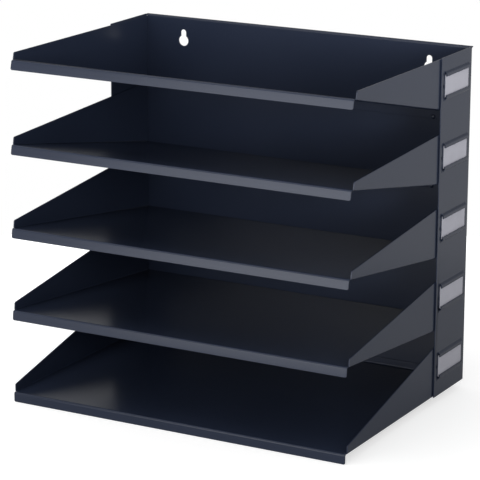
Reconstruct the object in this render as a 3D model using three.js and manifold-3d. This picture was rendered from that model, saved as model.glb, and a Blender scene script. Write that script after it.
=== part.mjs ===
// Wall sorter with five fanned trays, folded from sheet steel.
// Millimetres. X runs across the rack, +Y points to the wall, Z is up.
// The rack is drawn with the wall side of its back panel at y = 0 and is centred by its group at the end.
import * as THREE from 'three';
import { mergeVertices } from 'three/addons/utils/BufferGeometryUtils.js';
import Module from 'manifold-3d';

const wasm = await Module();
wasm.setup();

// Sheet and folds
const sheet = 1.0;
const foldRadius = 1.8; // outside of a fold
const foldSteps = 4; // facets in a fold
const cornerRadius = 1.5; // cut corners of lips and side flanges
const fitGap = 0.3; // play between folded pieces that lie on each other

// Back shell
const rackWidth = 330; // over the outer faces of the wings
const wingDepth = 63.4; // from the wall side of the panel to a wing's front edge
const wingMargin = 1.5; // wing above the top tray's side flange
const wallStandOff = 2.2; // reach of the top and bottom flanges behind the panel
const topFlangeRise = 0; // top flange above the wings' top edge
const topFlangeInset = 0.3; // top flange's ends inside the wings' outer faces
const bottomFlangeInset = 4; // bottom flange's ends inside the wings' outer faces
const reliefGap = 0.4; // slit beside a flange's fold
const reliefDepth = 0.15; // slit below a flange's fold
const cornerGap = 0.1; // end of a wing's sheet in front of the panel, at a flange's fold

// Keyholes in the back panel
const keyholeInset = 40.5; // wing's outer face to a keyhole's middle
const keyholeDrop = 21.8; // wings' top edge to the centre of the round part
const keyholeRadius = 5;
const keyholeSlotWidth = 5.4;
const keyholeSlotRise = 10.4; // round part's centre to the top of the slot

// Trays, numbered from the top: the lowest is level, the others fan upwards at the front
const trayCount = 5;
const trayPitch = 62.57; // between the rear edges of the fanned trays
const basePitch = 55.6; // between the base tray and the first fanned tray
const firstTilt = 4.8; // degrees, lowest fanned tray
const tiltStep = 2.83; // degrees more for each tray above
const trayReach = 231.7; // floor length from its rear edge to the lip's face
const lipDrop = 7.9; // lip below the floor's underside
const lipInset = 0.8; // lip's ends inside the side flanges' outer faces
const flangeFrontHeight = 6.8; // side flange at the lip's face
const flangeRearHeight = 59.6; // side flange at the floor's rear edge
const flangeSetBack = 3.0; // side flange's front end behind the lip's face
const flangeRearClearance = 1.2; // side flange's rear end in front of the floor's rear edge
const trayClearance = 2; // side flanges stay this far below the tray above
const rearFlangeDrop = 10; // rear flange of a fanned tray, below the floor's underside
const baseFlangeRise = 7.5; // rear flange of the base tray, above the floor's underside
const rearFlangeInset = 3; // rear flange's ends inside the side flanges' outer faces

// Rivets through the rear flanges
const rivetInset = 35; // wing's outer face to a rivet's middle
const rivetDrop = 6.2; // below a fanned tray's floor
const rivetRise = 4.6; // above the base tray's underside
const shankRadius = 1.5;
const headRadius = 2.2;
const headHeight = 1.2;
const rivetSides = 14;
const seatGap = 0.1;

// Label cards and the holders pressed out of the right wing
const cardLength = 47.8;
const cardHeight = 20.4;
const cardThickness = 0.4;
const cardPlay = 0.2; // on each face of a card
const cardRearInset = 8.7; // wall side of the panel to the card's rear edge
const cardRise = 34.6; // top tray's rear edge to the middle of its card
const windowHeight = 16.3; // card that shows between the two flaps
const flapRise = 1.3; // card's edge to the middle of the flap's slope
const flapFrontInset = 0.4; // card standing out of the flaps at the front
const flapRoot = 0.6; // flat part of a flap before its slope
const flapTab = 1; // tab that closes a flap's rear end
const tabInset = 0.2; // tab inside the flap's edges
const flapEndGap = 0.4; // cut at the ends of a flap
const slitWidth = 0.9;
const slitGap = 1.5; // card's front edge to the slit
const notchRadius = 1.5; // finger notch on the slit

// Sizes that follow
const fanCount = trayCount - 1;
const midRadius = foldRadius - sheet / 2;
const baseHeight = lipDrop;
const rearPlane = -(sheet + fitGap);
const trayHalf = rackWidth / 2 - sheet - fitGap;
const wingFace = rackWidth / 2;
const wingMiddle = wingFace - sheet / 2;
const trayTilt = (tray) => (tray < trayCount ? firstTilt + (fanCount - tray) * tiltStep : 0);
const trayHeight = (tray) => (
  tray < trayCount ? baseHeight + basePitch + (fanCount - tray) * trayPitch : baseHeight
);
const flangeLimit = (tray) => (
  Math.min(flangeRearHeight, (tray < trayCount ? trayPitch : basePitch) - trayClearance)
);
const radians = THREE.MathUtils.degToRad;
const settled = (value) => Math.round(value * 1e4) / 1e4; // planes that should meet do so exactly
const wingTop = settled(trayHeight(1) + flangeLimit(1) * Math.cos(radians(trayTilt(1))) + wingMargin);
const cardMiddle = (tray) => settled(trayHeight(1) + cardRise - (tray - 1) * trayPitch);
const cardRear = -cardRearInset;
const cardFront = cardRear - cardLength;
const flapFront = cardFront + flapFrontInset;
const flapRear = cardRear + fitGap;
const flapLift = sheet + cardThickness + 2 * cardPlay;
const flapStart = cardHeight / 2 + flapRise + flapLift / 2 + flapRoot;

const point = (u, v) => new THREE.Vector2(u, v);

// A line whose inner corners are rounded, as points with the direction of travel at each
function roundedLine(corners, radius) {
  const line = [];
  const add = (place, direction) => line.push({ place, direction });
  corners.forEach((corner, index) => {
    const last = index === corners.length - 1;
    const before = index > 0 ? corner.clone().sub(corners[index - 1]).normalize() : null;
    const after = last ? null : corners[index + 1].clone().sub(corner).normalize();
    if (!before || !after) {
      add(corner, before ?? after);
      return;
    }
    const turn = Math.atan2(before.cross(after), before.dot(after));
    const side = Math.sign(turn);
    const start = corner.clone().addScaledVector(before, -radius * Math.tan(Math.abs(turn) / 2));
    const spoke = point(before.y, -before.x).multiplyScalar(side * radius);
    const centre = start.clone().sub(spoke);
    for (let step = 0; step <= foldSteps; step += 1) {
      const angle = turn * step / foldSteps;
      const place = spoke.clone().rotateAround(point(0, 0), angle).add(centre);
      add(place, before.clone().rotateAround(point(0, 0), angle));
    }
  });
  return line;
}

// Outline of a folded sheet seen along its folds, from its middle line
function foldedSheet(corners, radius = midRadius) {
  const line = roundedLine(corners, radius);
  const shifted = (amount) => line.map(({ place, direction }) => (
    point(settled(place.x - direction.y * amount), settled(place.y + direction.x * amount))
  ));
  return new THREE.Shape([...shifted(sheet / 2), ...shifted(-sheet / 2).reverse()]);
}

// Outline with rounded inner corners, closed by a straight side
function cutOutline(corners) {
  const line = roundedLine(corners, cornerRadius);
  return new THREE.Shape(line.map(({ place }) => point(settled(place.x), settled(place.y))));
}

// Solids: a closed geometry as a body that can be joined and cut
function solid(geometry) {
  geometry.deleteAttribute('normal');
  geometry.deleteAttribute('uv');
  const merged = mergeVertices(geometry, 1e-4);
  const index = merged.index.array;
  const triangles = [];
  for (let corner = 0; corner < index.length; corner += 3) {
    const [a, b, c] = index.slice(corner, corner + 3);
    if (a !== b && b !== c && c !== a) triangles.push(a, b, c);
  }
  return new wasm.Manifold(new wasm.Mesh({
    numProp: 3,
    vertProperties: new Float32Array(merged.attributes.position.array),
    triVerts: new Uint32Array(triangles),
  }));
}

// An outline swept straight from one place to another along an axis
function swept(shape, from, to, basis) {
  const geometry = new THREE.ExtrudeGeometry(shape, { depth: 1, bevelEnabled: false, curveSegments: 12 });
  const places = geometry.attributes.position;
  for (let corner = 0; corner < places.count; corner += 1) {
    places.setZ(corner, places.getZ(corner) < 0.5 ? from : to);
  }
  geometry.applyMatrix4(new THREE.Matrix4().makeBasis(...basis));
  return solid(geometry);
}

const [across, back, up] = [0, 1, 2].map((axis) => new THREE.Vector3().setComponent(axis, 1));
const sweptAcross = (shape, from, to) => swept(shape, from, to, [back, up, across]); // outline in y and z
const sweptUp = (shape, from, to) => swept(shape, from, to, [across, back, up]); // outline in x and y
const sweptBack = (shape, from, to) => swept(shape, from, to, [up, across, back]); // outline in z and x

function block(low, high) {
  const corners = [[0, 0], [1, 0], [1, 1], [0, 1]];
  const outline = corners.map(([u, v]) => point(u ? high[0] : low[0], v ? high[1] : low[1]));
  return sweptUp(new THREE.Shape(outline), low[2], high[2]);
}

// Low and high end of a stretch measured outwards from a middle, on either side of it
const stretch = (from, to) => (from < to ? [from, to] : [to, from]);

const joined = (bodies) => bodies.reduce((whole, body) => whole.add(body));
const cut = (body, tools) => tools.reduce((whole, tool) => whole.subtract(tool), body);

// Finishes
const paint = { color: 0x3d3f44, roughness: 0.5, metalness: 0.15 };
const cardPaper = { color: 0xb3b2bb, roughness: 0.75, metalness: 0 };

function piece(name, body, finish) {
  const { vertProperties, triVerts } = body.getMesh();
  const geometry = new THREE.BufferGeometry();
  geometry.setAttribute('position', new THREE.BufferAttribute(new Float32Array(vertProperties), 3));
  geometry.setIndex(new THREE.BufferAttribute(new Uint32Array(triVerts), 1));
  geometry.computeVertexNormals();
  const mesh = new THREE.Mesh(geometry, new THREE.MeshStandardMaterial(finish));
  mesh.name = name;
  return mesh;
}

// Rivet places: across the rack, and up the panel for each tray
const rivetColumns = [['left', rivetInset - wingFace], ['right', wingFace - rivetInset]];
const rivetHeight = (tray) => (
  tray < trayCount ? trayHeight(tray) - rivetDrop : trayHeight(tray) + rivetRise
);

// Round hole along Y for a rivet's shank, through the panel and a rear flange
function rivetHole(x, z) {
  const radius = shankRadius + fitGap;
  const geometry = new THREE.CylinderGeometry(radius, radius, 8 * sheet, rivetSides);
  geometry.translate(x, 0, z);
  return solid(geometry);
}

const rivetHoles = (tray) => rivetColumns.map(([, x]) => rivetHole(x, rivetHeight(tray)));

// Keyhole: a round entry with a narrower slot above it
function keyhole(x) {
  const middle = wingTop - keyholeDrop;
  const half = keyholeSlotWidth / 2;
  const meeting = Math.asin(half / keyholeRadius);
  const shape = new THREE.Shape();
  shape.absarc(middle, x, keyholeRadius, meeting, 2 * Math.PI - meeting, false);
  shape.absarc(middle + keyholeSlotRise - half, x, half, -Math.PI / 2, Math.PI / 2, false);
  return sweptBack(shape, -2 * sheet, sheet);
}

// Top or bottom edge of the panel, folded back towards the wall
function wallFlange(edge, inward, inset) {
  const half = wingFace - inset;
  const middle = edge + inward * sheet / 2;
  const fold = foldedSheet([
    point(-sheet / 2, edge + inward * foldRadius),
    point(-sheet / 2, middle),
    point(wallStandOff, middle),
  ]);
  return sweptAcross(fold, -half, half);
}

// Sheet cleared for a wall flange: beyond its fold, and in a slit at both ends of the fold.
// A flange that runs past the panel's flat part clears the corner folds as well.
function flangeRelief(edge, inward, inset) {
  const foldEnd = edge + inward * foldRadius;
  const beyond = edge - inward * wingDepth;
  const half = wingFace - inset;
  const flatHalf = wingFace - foldRadius - reliefGap;
  const slitStart = Math.min(half, flatHalf);
  const slitEnd = half > flatHalf ? rackWidth : half + reliefGap;
  const clear = (from, to, start) => {
    const [left, right] = stretch(from, to);
    const [low, high] = stretch(start, beyond);
    return block([left, -sheet - cornerGap, low], [right, sheet, high]);
  };
  const slits = [-1, 1].map((side) => (
    clear(side * slitStart, side * slitEnd, foldEnd + inward * reliefDepth)
  ));
  return [clear(-slitEnd, slitEnd, foldEnd), ...slits];
}

// One flap of a label holder: sheet lanced from the wing and set out by the card's thickness.
// A tab at its rear end stops the card.
function holderFlap(middle, side) {
  const outFrom = flapStart - flapLift;
  const outline = foldedSheet([
    point(middle + side * flapStart, wingMiddle),
    point(middle + side * (flapStart - flapRoot), wingMiddle),
    point(middle + side * (outFrom - flapRoot), wingMiddle + flapLift),
    point(middle + side * windowHeight / 2, wingMiddle + flapLift),
  ], sheet * 0.8);
  const [low, high] = stretch(side * (windowHeight / 2 + tabInset), side * (outFrom - flapRoot));
  const tab = block(
    [wingFace, flapRear, middle + low],
    [wingMiddle + flapLift, flapRear + flapTab - tabInset, middle + high],
  );
  return sweptBack(outline, flapFront, flapRear + flapTab).add(tab);
}

// Openings in the wing at a label holder: behind the flaps, and the slit with its finger notch
function holderCuts(middle) {
  const inside = wingFace - 2 * sheet;
  const outside = wingFace + sheet;
  const slitRear = cardFront - slitGap;
  const windows = [-1, 1].map((side) => {
    const [low, high] = stretch(side * windowHeight / 2, side * flapStart);
    return block(
      [inside, flapFront - flapEndGap, middle + low],
      [outside, flapRear + flapTab + flapEndGap, middle + high],
    );
  });
  const slit = block(
    [inside, slitRear - slitWidth, middle - flapStart],
    [outside, slitRear, middle + flapStart],
  );
  const notch = new THREE.CylinderGeometry(notchRadius, notchRadius, 4 * sheet, rivetSides);
  notch.rotateZ(Math.PI / 2);
  notch.translate(wingMiddle, slitRear - slitWidth, middle);
  return [...windows, slit, solid(notch)];
}

// Back panel and both wings, one folded sheet
function backShell() {
  const trays = Array.from({ length: trayCount }, (_, index) => index + 1);
  const outline = foldedSheet([
    point(-wingMiddle, -wingDepth),
    point(-wingMiddle, -sheet / 2),
    point(wingMiddle, -sheet / 2),
    point(wingMiddle, -wingDepth),
  ]);
  const flangeTop = wingTop + topFlangeRise;
  const folded = cut(sweptUp(outline, baseHeight, wingTop), [
    ...flangeRelief(flangeTop, -1, topFlangeInset),
    ...flangeRelief(baseHeight, 1, bottomFlangeInset),
    ...trays.flatMap((tray) => holderCuts(cardMiddle(tray))),
  ]);
  const whole = joined([
    folded,
    wallFlange(flangeTop, -1, topFlangeInset),
    wallFlange(baseHeight, 1, bottomFlangeInset),
    ...trays.flatMap((tray) => [-1, 1].map((side) => holderFlap(cardMiddle(tray), side))),
  ]);
  return cut(whole, [
    keyhole(keyholeInset - wingFace),
    keyhole(wingFace - keyholeInset),
    ...trays.flatMap(rivetHoles),
  ]);
}

// A tray in its own frame: floor level, y = 0 and z = 0 at the underside's rear edge, front at -y
function trayBody(tray) {
  const tilt = radians(trayTilt(tray));
  const rearLength = tray < trayCount ? rearFlangeDrop : -baseFlangeRise;
  const rearMiddle = point(-Math.cos(tilt), -Math.sin(tilt)).multiplyScalar(sheet / 2);
  const rearEnd = rearMiddle.clone().addScaledVector(point(Math.sin(tilt), -Math.cos(tilt)), rearLength);
  const rearCorner = point(-sheet / 2 * (1 + Math.sin(tilt)) / Math.cos(tilt), sheet / 2);
  const lipMiddle = sheet / 2 - trayReach;
  const lipEnd = point(lipMiddle, -lipDrop);
  const frontCorner = point(lipMiddle, sheet / 2);

  // Lip, floor and rear flange as one folded strip; beside the side flanges only the lip keeps its width
  const lipHalf = trayHalf - lipInset;
  const stripHalf = trayHalf - rearFlangeInset;
  const lipOutline = cutOutline([
    point(trayReach, -lipHalf),
    point(-lipDrop, -lipHalf),
    point(-lipDrop, lipHalf),
    point(trayReach, lipHalf),
  ]);
  const strip = foldedSheet([lipEnd, frontCorner, rearCorner, rearEnd]);
  const lipRear = foldRadius - trayReach;
  const core = cut(sweptAcross(strip, -rackWidth, rackWidth), [-1, 1].map((side) => {
    const [left, right] = stretch(side * stripHalf, side * 2 * rackWidth);
    return block([left, lipRear, -trayReach], [right, trayReach, trayReach]);
  })).intersect(sweptBack(lipOutline, -2 * trayReach, trayReach));

  // Floor with both side flanges, trimmed to the flanges' tapered outline
  const flangeMiddle = trayHalf - sheet / 2;
  const flangeTop = flangeLimit(tray);
  const channel = foldedSheet([
    point(flangeTop, -flangeMiddle),
    point(sheet / 2, -flangeMiddle),
    point(sheet / 2, flangeMiddle),
    point(flangeTop, flangeMiddle),
  ]);
  const flangeFront = flangeSetBack - trayReach;
  const taper = (flangeRearHeight - flangeFrontHeight) / trayReach;
  const rearTop = -flangeRearClearance - flangeRearHeight * Math.tan(tilt);
  const flangeOutline = cutOutline([
    point(-flangeRearClearance, -sheet),
    point(flangeFront, -sheet),
    point(flangeFront, flangeFrontHeight + taper * flangeSetBack),
    point(rearTop, flangeRearHeight + taper * rearTop),
  ]);
  const sides = sweptBack(channel, -trayReach, 0)
    .intersect(sweptAcross(flangeOutline, -rackWidth, rackWidth))
    .subtract(block([-stripHalf, -trayReach, -trayReach], [stripHalf, sheet, trayReach]));
  return joined([core, sides]);
}

// A tray turned to its place, with the holes for its rivets
function trayPiece(tray) {
  const place = new THREE.Matrix4().makeRotationX(-radians(trayTilt(tray)));
  place.setPosition(0, rearPlane, trayHeight(tray));
  const holes = rivetHoles(tray).map((hole) => hole.transform(place.clone().invert().elements));
  const mesh = piece(`tray_${tray}`, cut(trayBody(tray), holes), paint);
  mesh.applyMatrix4(place);
  return mesh;
}

// Domed rivet with its set end behind the panel
function rivetPiece(tray, side, x) {
  const seat = rearPlane - sheet - seatGap;
  const behind = seatGap;
  const dome = [0, 1, 2, 3].map((step) => {
    const angle = step / 3 * Math.PI / 2;
    return point(headRadius * Math.sin(angle), seat - headHeight * Math.cos(angle));
  });
  const profile = [
    ...dome,
    point(shankRadius, seat),
    point(shankRadius, behind),
    point(headRadius, behind),
    point(headRadius * 0.7, behind + headHeight),
    point(0, behind + headHeight),
  ];
  const geometry = new THREE.LatheGeometry(profile, rivetSides);
  geometry.translate(x, 0, rivetHeight(tray));
  return piece(`rivet_${tray}_${side}`, solid(geometry), paint);
}

// Label card in its holder
function cardPiece(tray) {
  const middle = cardMiddle(tray);
  const inner = wingFace + cardPlay;
  const body = block(
    [inner, cardFront, middle - cardHeight / 2],
    [inner + cardThickness, cardRear, middle + cardHeight / 2],
  );
  return piece(`label_card_${tray}`, body, cardPaper);
}

// The rack, with its origin under the middle of its box
const group = new THREE.Group();
group.add(piece('back_shell', backShell(), paint));
for (let tray = 1; tray <= trayCount; tray += 1) {
  group.add(trayPiece(tray));
  group.add(cardPiece(tray));
  for (const [side, x] of rivetColumns) {
    group.add(rivetPiece(tray, side, x));
  }
}
group.position.y = (trayReach - rearPlane - wallStandOff) / 2;

export default group;
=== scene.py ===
# %% [markdown]
# # A wall sorter with fanned trays
# The real object is a rack of folded steel sheet: one back shell with two side wings, and five trays riveted
# to it, each tilted a little more than the one below. The solids arrive ready made, at their true size and
# place. What is left for Blender is what the eye reads as "real": rounded sheet edges, smooth folds, a
# grained powder coat, paper labels, and the light of a bright studio.

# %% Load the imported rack
import math
import bmesh
import bpy
from mathutils import Matrix, Vector


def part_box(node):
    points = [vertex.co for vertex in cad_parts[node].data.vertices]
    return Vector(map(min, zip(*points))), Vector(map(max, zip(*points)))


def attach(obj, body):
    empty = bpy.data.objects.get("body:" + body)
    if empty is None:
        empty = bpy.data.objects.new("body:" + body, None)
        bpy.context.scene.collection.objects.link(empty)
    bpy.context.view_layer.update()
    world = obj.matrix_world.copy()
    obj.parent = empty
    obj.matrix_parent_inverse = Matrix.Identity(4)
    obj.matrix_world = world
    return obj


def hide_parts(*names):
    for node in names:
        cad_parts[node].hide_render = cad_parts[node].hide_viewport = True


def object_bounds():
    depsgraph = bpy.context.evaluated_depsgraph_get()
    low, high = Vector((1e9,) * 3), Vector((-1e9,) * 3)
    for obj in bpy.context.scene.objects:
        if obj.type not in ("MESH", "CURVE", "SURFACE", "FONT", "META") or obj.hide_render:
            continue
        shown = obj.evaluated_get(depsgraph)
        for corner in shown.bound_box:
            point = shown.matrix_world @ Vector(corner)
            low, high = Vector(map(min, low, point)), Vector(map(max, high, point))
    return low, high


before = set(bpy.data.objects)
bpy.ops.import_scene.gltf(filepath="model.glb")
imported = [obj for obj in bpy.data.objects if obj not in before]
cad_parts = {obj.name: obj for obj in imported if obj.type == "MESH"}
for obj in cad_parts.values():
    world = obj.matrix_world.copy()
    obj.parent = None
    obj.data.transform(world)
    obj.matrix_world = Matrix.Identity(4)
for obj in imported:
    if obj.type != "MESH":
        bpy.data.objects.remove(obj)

MM = 0.001
cad_low, cad_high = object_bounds()
print("nodes:", len(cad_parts), "box in mm:", [round(v / MM, 1) for v in cad_high - cad_low])

# %% [markdown]
# ## Grain of a powder coat
# Powder coat is sprayed on dry and melts in an oven. It never flows quite flat, so the skin keeps low, wide
# bumps of about two millimetres, known as orange peel, with a finer grit on top. Both are noise. They could
# be built again in every material, but a node group is built once and placed wherever paint is needed. It
# gives out a height for the bump, a tone, and a dullness. Tone and dullness drift slowly over the sheet, as
# they do in a sprayed coat.


# %% Node helpers
def add_node(tree, kind, **settings):
    node = tree.nodes.new(kind)
    for name, value in settings.items():
        setattr(node, name, value)
    return node


def feed(tree, node, settings):
    """Sets a node's inputs: another node's output is linked, a plain value is written on the socket."""
    for name, value in settings.items():
        socket = node.inputs[name]
        if isinstance(value, bpy.types.NodeSocket):
            tree.links.new(value, socket)
        else:
            socket.default_value = value


def math_node(tree, operation, first, second):
    node = add_node(tree, "ShaderNodeMath", operation=operation)
    feed(tree, node, {0: first, 1: second})
    return node.outputs[0]


def noise(tree, vector, scale, detail, roughness=0.5):
    texture = add_node(tree, "ShaderNodeTexNoise")
    feed(tree, texture, {"Vector": vector, "Scale": scale, "Detail": detail, "Roughness": roughness})
    return texture.outputs["Fac"]


def ramp(tree, value, start, end, low, high):
    """A smooth ramp: low up to start, high from end on."""
    node = add_node(tree, "ShaderNodeMapRange", interpolation_type="SMOOTHSTEP")
    feed(tree, node, {"Value": value, "From Min": start, "From Max": end, "To Min": low, "To Max": high})
    return node.outputs["Result"]


def spread(tree, value, low, high):
    """A noise value, which lies mostly between 0.3 and 0.7, stretched to run from low to high."""
    return ramp(tree, value, 0.3, 0.7, low, high)


def start_group(name, inputs, outputs):
    group = bpy.data.node_groups.new(name, "ShaderNodeTree")
    for label, kind, default in inputs:
        socket = group.interface.new_socket(name=label, in_out="INPUT", socket_type=kind)
        if default is not None:
            socket.default_value = default
    for label, kind in outputs:
        group.interface.new_socket(name=label, in_out="OUTPUT", socket_type=kind)
    return group, add_node(group, "NodeGroupInput"), add_node(group, "NodeGroupOutput")


print("node helpers ready")

# %% The grain group
PEEL_SCALE = 520.0  # bumps to the metre
GRIT_SCALE = 2600.0
DRIFT_SCALE = 9.0
GRIT_SHARE = 0.35  # height of the grit beside that of the peel


def make_coat_grain():
    group, inside, outside = start_group(
        "coat_grain",
        [("Vector", "NodeSocketVector", None), ("Peel Scale", "NodeSocketFloat", PEEL_SCALE),
         ("Grit Scale", "NodeSocketFloat", GRIT_SCALE)],
        [("Height", "NodeSocketFloat"), ("Tone", "NodeSocketFloat"), ("Dull", "NodeSocketFloat")],
    )
    vector = inside.outputs["Vector"]
    peel = noise(group, vector, inside.outputs["Peel Scale"], 1.5)
    grit = noise(group, vector, inside.outputs["Grit Scale"], 2.0)
    drift = noise(group, vector, DRIFT_SCALE, 3.0)
    height = math_node(group, "ADD", peel, math_node(group, "MULTIPLY", grit, GRIT_SHARE))
    tone = math_node(group, "ADD", spread(group, drift, 0.96, 1.04), spread(group, grit, -0.03, 0.03))
    feed(group, outside, {"Height": height, "Tone": tone, "Dull": spread(group, drift, 0.0, 1.0)})
    return group


coat_grain = make_coat_grain()
print("group:", coat_grain.name, "with", len(coat_grain.nodes), "nodes")

# %% [markdown]
# ## The paint
# The sheet is sprayed a blue-black anthracite with a satin gloss. Most of what looks grey in daylight is the
# white surroundings mirrored faintly in that gloss; in the shade between two trays the coat shows its own
# dark navy. So the colour is kept dark, and the Principled shader's own reflection does the rest.


# %% Material helpers
def new_material(name):
    material = bpy.data.materials.new(name)
    material.use_nodes = True
    tree = material.node_tree
    return material, tree, tree.nodes["Principled BSDF"]


def object_place(tree):
    return add_node(tree, "ShaderNodeTexCoord").outputs["Object"]


def tinted(tree, colour, tone):
    """A colour made lighter or darker by a tone that changes over the surface."""
    tint = add_node(tree, "ShaderNodeVectorMath", operation="SCALE")
    feed(tree, tint, {0: colour, "Scale": tone})
    return tint.outputs["Vector"]


def bumped(tree, height, strength, depth):
    bump = add_node(tree, "ShaderNodeBump")
    feed(tree, bump, {"Height": height, "Strength": strength, "Distance": depth})
    return bump.outputs["Normal"]


print("material helpers ready")

# %% Powder coat material
COAT_COLOUR = (0.018, 0.0245, 0.045)
COAT_DULLNESS = 0.24
COAT_GLOSS = 0.34
DULLNESS_DRIFT = 0.015  # to either side, over the sheet
PEEL_STRENGTH = 0.35
SHEET_PEEL = 0.03 * MM
RIVET_PEEL = 0.02 * MM
RIVET_DULLNESS = COAT_DULLNESS + 0.08


def coat_material(name, dullness, peel_depth):
    material, tree, shader = new_material(name)
    grain = add_node(tree, "ShaderNodeGroup", node_tree=coat_grain)
    feed(tree, grain, {"Vector": object_place(tree)})
    dull = add_node(tree, "ShaderNodeMapRange")
    feed(tree, dull, {
        "Value": grain.outputs["Dull"],
        "To Min": dullness - DULLNESS_DRIFT,
        "To Max": dullness + DULLNESS_DRIFT,
    })
    feed(tree, shader, {
        "Base Color": tinted(tree, COAT_COLOUR, grain.outputs["Tone"]),
        "Roughness": dull.outputs["Result"],
        "Specular IOR Level": COAT_GLOSS,
        "Normal": bumped(tree, grain.outputs["Height"], PEEL_STRENGTH, peel_depth),
    })
    return material


sheet_coat = coat_material("anthracite_coat", COAT_DULLNESS, SHEET_PEEL)
rivet_coat = coat_material("rivet_coat", RIVET_DULLNESS, RIVET_PEEL)
print("paints:", sheet_coat.name, rivet_coat.name)

# %% [markdown]
# ## Folded sheet
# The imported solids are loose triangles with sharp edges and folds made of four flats. Real sheet has a
# softened edge from punching and paint, and that thin rounded line catches the light. A copy of each solid
# is welded, its coplanar triangles are dissolved into whole faces, and every sharp edge gets a small bevel.
# The folds turn by only 22 degrees a step, so they are left out of the bevel and shaded smooth instead. The
# copy stands in for the solid, at the same place.

# %% Softened copies of the sheet pieces
TRAYS = range(1, 6)  # numbered from the top
WELD = 0.004 * MM
COPLANAR = math.radians(0.6)
SHARP = math.radians(40)
EDGE_SOFTENING = 0.22 * MM
LARGE_FACE_WEIGHT = 80  # above the neutral 50, large faces count for more and so shade flat


def settle(piece, material, body):
    piece.data.materials.append(material)
    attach(piece, body)


def new_piece(name, shape):
    mesh = bpy.data.meshes.new(name)
    shape.to_mesh(mesh)
    shape.free()
    mesh.shade_smooth()
    piece = bpy.data.objects.new(name, mesh)
    bpy.context.scene.collection.objects.link(piece)
    return piece


def softened(node):
    shape = bmesh.new()
    shape.from_mesh(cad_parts[node].data)
    bmesh.ops.remove_doubles(shape, verts=shape.verts[:], dist=WELD)
    bmesh.ops.dissolve_limit(shape, angle_limit=COPLANAR, verts=shape.verts[:], edges=shape.edges[:])
    edges = [edge for edge in shape.edges if edge.is_manifold and edge.calc_face_angle() > SHARP]
    bmesh.ops.bevel(shape, geom=edges, offset=EDGE_SOFTENING, offset_type="OFFSET", segments=2, profile=0.5,
                    affect="EDGES", clamp_overlap=False, material=-1)
    return shape


def sheet_piece(node):
    piece = new_piece(f"{node}_sheet", softened(node))
    weighted = piece.modifiers.new("even_shading", "WEIGHTED_NORMAL")
    weighted.weight = LARGE_FACE_WEIGHT
    settle(piece, sheet_coat, "rack")
    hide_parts(node)
    return piece


sheet_nodes = ["back_shell"] + [f"tray_{tray}" for tray in TRAYS]
for node in sheet_nodes:
    piece = sheet_piece(node)
    print(piece.name, len(piece.data.polygons), "faces")

# %% [markdown]
# ## Rivets
# Two domed rivets hold each tray's rear flange to the panel. A rivet is a turned shape, so half its section
# is drawn once and spun round the axis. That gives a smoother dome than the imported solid's fourteen sides.

# %% Turned rivets
RIVET_HEAD_SHARE = 0.27  # of the rivet's whole length
SHANK_SHARE = 0.66  # of the head's radius
SET_END_SHARE = 0.7  # of the head's radius, at the flat rear end
# Shares of the head's radius and of its height, from the top of the dome.
HEAD_SECTION = [(0.0, 0.0), (0.45, 0.10), (0.75, 0.34), (0.93, 0.66), (1.0, 0.93), (0.95, 1.0),
                (SHANK_SHARE, 1.0)]
RIVET_STEPS = 24
RIVET_SHARP = math.radians(50)


def rivet_piece(node):
    low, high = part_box(node)
    middle = (low + high) / 2
    radius = (high.z - low.z) / 2
    head = (high.y - low.y) * RIVET_HEAD_SHARE
    seat = high.y - head
    front = [(share * radius, low.y + depth * head) for share, depth in HEAD_SECTION]
    rear = [(SHANK_SHARE * radius, seat), (radius, seat), (SET_END_SHARE * radius, high.y), (0, high.y)]
    shape = bmesh.new()
    corners = [shape.verts.new((out, along, 0)) for out, along in front + rear]
    line = [shape.edges.new(pair) for pair in zip(corners, corners[1:])]
    bmesh.ops.spin(shape, geom=corners + line, cent=(0, 0, 0), axis=(0, 1, 0), angle=2 * math.pi,
                   steps=RIVET_STEPS, use_merge=True)
    bmesh.ops.remove_doubles(shape, verts=shape.verts[:], dist=0.001 * MM)
    bmesh.ops.recalc_face_normals(shape, faces=shape.faces[:])
    bmesh.ops.translate(shape, vec=(middle.x, 0, middle.z), verts=shape.verts[:])
    piece = new_piece(f"{node}_turned", shape)
    piece.data.set_sharp_from_angle(angle=RIVET_SHARP)
    settle(piece, rivet_coat, "rack")
    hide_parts(node)


rivet_nodes = [f"rivet_{tray}_{side}" for tray in TRAYS for side in ("left", "right")]
for node in rivet_nodes:
    rivet_piece(node)
print("rivets:", len(rivet_nodes))

# %% [markdown]
# ## Label cards
# Each holder on the right wing keeps a blank card of pale lavender-grey stock. A card is a thin box with its
# four corners clipped round. Card stock is pressed fibre: fine streaks lie along it, so a noise is stretched
# along the card's length for the tone and used again as a very shallow bump.

# %% Card stock material
CARD_COLOUR = (0.38, 0.38, 0.43)
FIBRE_SCALE = 2400.0  # fibres to the metre
FIBRE_STRETCH = (1.0, 0.25, 1.0)  # four times as long along the card
FIBRE_STRENGTH = 0.3
FIBRE_DEPTH = 0.02 * MM
CLOUD_SCALE = 60.0


def card_material():
    material, tree, shader = new_material("card_stock")
    place = object_place(tree)
    along = add_node(tree, "ShaderNodeMapping")
    feed(tree, along, {"Vector": place, "Scale": FIBRE_STRETCH})
    fibre = noise(tree, along.outputs["Vector"], FIBRE_SCALE, 4.0, 0.6)
    cloud = noise(tree, place, CLOUD_SCALE, 2.0)
    tone = math_node(tree, "ADD", spread(tree, fibre, 0.95, 1.03), spread(tree, cloud, -0.02, 0.02))
    feed(tree, shader, {
        "Base Color": tinted(tree, CARD_COLOUR, tone),
        "Roughness": spread(tree, fibre, 0.66, 0.8),
        "Normal": bumped(tree, fibre, FIBRE_STRENGTH, FIBRE_DEPTH),
    })
    return material


card_stock = card_material()
print("paper:", card_stock.name)

# %% Cards with rounded corners
CARD_CORNER = 1.2 * MM
THROUGH = 0.1 * MM  # an edge longer than this in x runs through the card's thickness


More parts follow.
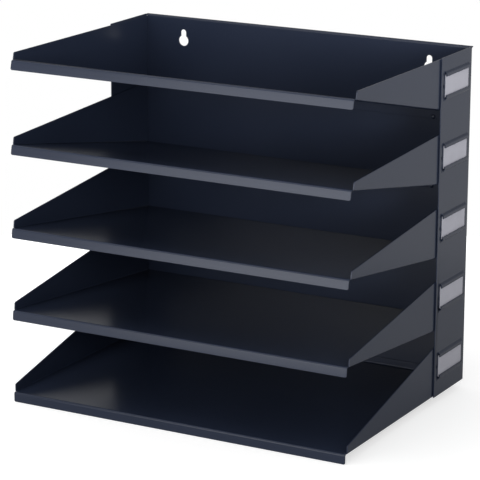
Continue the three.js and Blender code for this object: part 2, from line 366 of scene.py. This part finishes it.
def card_piece(tray):
    node = f"label_card_{tray}"
    low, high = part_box(node)
    shape = bmesh.new()
    bmesh.ops.create_cube(shape, size=1.0)
    bmesh.ops.scale(shape, vec=high - low, verts=shape.verts[:])
    bmesh.ops.translate(shape, vec=(low + high) / 2, verts=shape.verts[:])
    corners = [edge for edge in shape.edges if abs((edge.verts[0].co - edge.verts[1].co).x) > THROUGH]
    bmesh.ops.bevel(shape, geom=corners, offset=CARD_CORNER, offset_type="OFFSET", segments=5, profile=0.5,
                    affect="EDGES", material=-1)
    piece = new_piece(f"{node}_paper", shape)
    piece.data.set_sharp_from_angle(angle=SHARP)
    settle(piece, card_stock, f"card_{tray}")
    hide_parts(node)
    return piece


for tray in TRAYS:
    print(card_piece(tray).name)

# %% [markdown]
# ## Studio
# The photograph is a cut-out on white, so the rack stands in a plain white room. Light Path tells the
# world's shader which rays come straight from the camera: those see pure white. The rays that carry light
# see a greyer room, so the lamps can shape the sheet, and to mirror-like rays the ceiling is darker still.
# That dark ceiling is what draws the thin dark line along every fold that faces up.
#
# The floor is a small pale disc. It adds a glow of its own for the camera and keeps the rack's soft shadow,
# and the glow grows to white at the rim so that no edge of the disc can be seen.
#
# Four soft lamps light the rack. The large one at the front left is mirrored in the front lips and in the
# trays' floors, and the larger one beside the camera fills the trays. A weak one overhead picks out the
# upper folds. A small one at the right makes the label cards fade from top to bottom; it is hidden from
# mirror-like rays, or it would glint along the sheet's edges.

# %% White room
ROOM_LIGHT = 0.58
CEILING_SHARE = 0.1  # of the room's light, to mirror-like rays
CEILING_START = 0.28  # upward part of a ray's heading, where the ceiling starts to darken
CEILING_END = 0.5


def white_world():
    world = bpy.data.worlds.new("white_room")
    world.use_nodes = True
    tree = world.node_tree
    rays = add_node(tree, "ShaderNodeLightPath").outputs
    heading = add_node(tree, "ShaderNodeSeparateXYZ")
    feed(tree, heading, {"Vector": add_node(tree, "ShaderNodeTexCoord").outputs["Generated"]})
    loss = ramp(tree, heading.outputs["Z"], CEILING_START, CEILING_END, 0.0, 1.0 - CEILING_SHARE)
    mirror_like = math_node(tree, "MAXIMUM", rays["Is Glossy Ray"], rays["Is Transmission Ray"])
    kept = math_node(tree, "SUBTRACT", 1.0, math_node(tree, "MULTIPLY", mirror_like, loss))
    room = math_node(tree, "MULTIPLY", kept, ROOM_LIGHT)
    feed(tree, tree.nodes["Background"], {
        "Color": (1, 1, 1, 1),
        "Strength": math_node(tree, "MAXIMUM", rays["Is Camera Ray"], room),
    })
    bpy.context.scene.world = world


white_world()
print("world:", bpy.context.scene.world.name)

# %% Pale floor
FLOOR_GAP = 0.3 * MM
FLOOR_RADIUS = 0.6
FLOOR_CORE = 0.3 * FLOOR_RADIUS  # the glow is weakest inside this radius
FLOOR_COLOUR = (0.6, 0.6, 0.6, 1)
FLOOR_DULLNESS = 0.9
FLOOR_GLOW = 0.62


def floor_material():
    material, tree, matt = new_material("pale_floor")
    feed(tree, matt, {"Base Color": FLOOR_COLOUR, "Roughness": FLOOR_DULLNESS, "Specular IOR Level": 0.0})
    rays = add_node(tree, "ShaderNodeLightPath").outputs
    reach = add_node(tree, "ShaderNodeVectorMath", operation="LENGTH")
    feed(tree, reach, {0: object_place(tree)})
    rim = ramp(tree, reach.outputs["Value"], FLOOR_CORE, FLOOR_RADIUS, FLOOR_GLOW, 1.0)
    glow = add_node(tree, "ShaderNodeEmission")
    feed(tree, glow, {"Strength": math_node(tree, "MULTIPLY", rays["Is Camera Ray"], rim)})
    both = add_node(tree, "ShaderNodeAddShader")
    feed(tree, both, {0: matt.outputs["BSDF"], 1: glow.outputs["Emission"]})
    feed(tree, tree.nodes["Material Output"], {"Surface": both.outputs["Shader"]})
    return material


shape = bmesh.new()
bmesh.ops.create_circle(shape, cap_ends=True, segments=96, radius=FLOOR_RADIUS)
bmesh.ops.translate(shape, vec=(0, 0, cad_low.z - FLOOR_GAP), verts=shape.verts[:])
floor = new_piece("floor", shape)
floor.data.materials.append(floor_material())
print("floor at", round(floor.data.vertices[0].co.z / MM, 2), "mm")

# %% Soft lamps
RACK_MIDDLE = (0.0, 0.0, 0.16)


def soft_lamp(name, place, aim, size, watts, beam=180, mirrored=True):
    lamp = bpy.data.lights.new(name, "AREA")
    lamp.shape = "SQUARE"
    lamp.size = size
    lamp.energy = watts
    lamp.spread = math.radians(beam)
    holder = bpy.data.objects.new(name, lamp)
    holder.visible_glossy = mirrored
    holder.location = place
    holder.rotation_euler = (Vector(aim) - Vector(place)).to_track_quat("-Z", "Y").to_euler()
    bpy.context.scene.collection.objects.link(holder)
    print("lamp:", name, watts, "W")


soft_lamp("front_left", (-0.24, -1.6, 0.22), (0.0, -0.1, 0.16), size=1.25, watts=15)
soft_lamp("front_right", (0.75, -2.0, 0.62), RACK_MIDDLE, size=2.1, watts=8)
soft_lamp("overhead", (-0.65, -0.35, 1.5), RACK_MIDDLE, size=1.1, watts=5)
soft_lamp("right_top", (1.05, -0.75, 0.5), (0.166, 0.08, 0.5), size=0.31, watts=1.1, beam=50,
          mirrored=False)

# %% [markdown]
# ## Camera
# The camera stands in front of the rack, well to its right and a little above, with a long lens. Its place
# and lens come from matching the rack's known edges to the photograph's, with no lens shift, so that other
# views can move the same camera round the rack.

# %% Camera at the photograph's view
CAMERA_PLACE = Vector((1.0140, -1.8395, 0.7113))
CAMERA_TURN = math.radians(28.89)
CAMERA_DIP = math.radians(15.17)
CAMERA_ROLL = math.radians(0.21)
CAMERA_LENS = 186.2
CAMERA_SENSOR = 36.0


def photo_camera():
    data = bpy.data.cameras.new("photo_view")
    data.sensor_width = CAMERA_SENSOR
    data.lens = CAMERA_LENS
    camera = bpy.data.objects.new("photo_view", data)
    turn = Matrix.Rotation(CAMERA_TURN, 4, "Z") @ Matrix.Rotation(math.pi / 2 - CAMERA_DIP, 4, "X")
    camera.matrix_world = Matrix.Translation(CAMERA_PLACE) @ turn @ Matrix.Rotation(CAMERA_ROLL, 4, "Z")
    bpy.context.scene.collection.objects.link(camera)
    bpy.context.scene.camera = camera
    return camera


camera = photo_camera()
bpy.context.scene.view_settings.view_transform = "Standard"
print("camera at", [round(v, 3) for v in camera.location], "lens", round(camera.data.lens, 1))
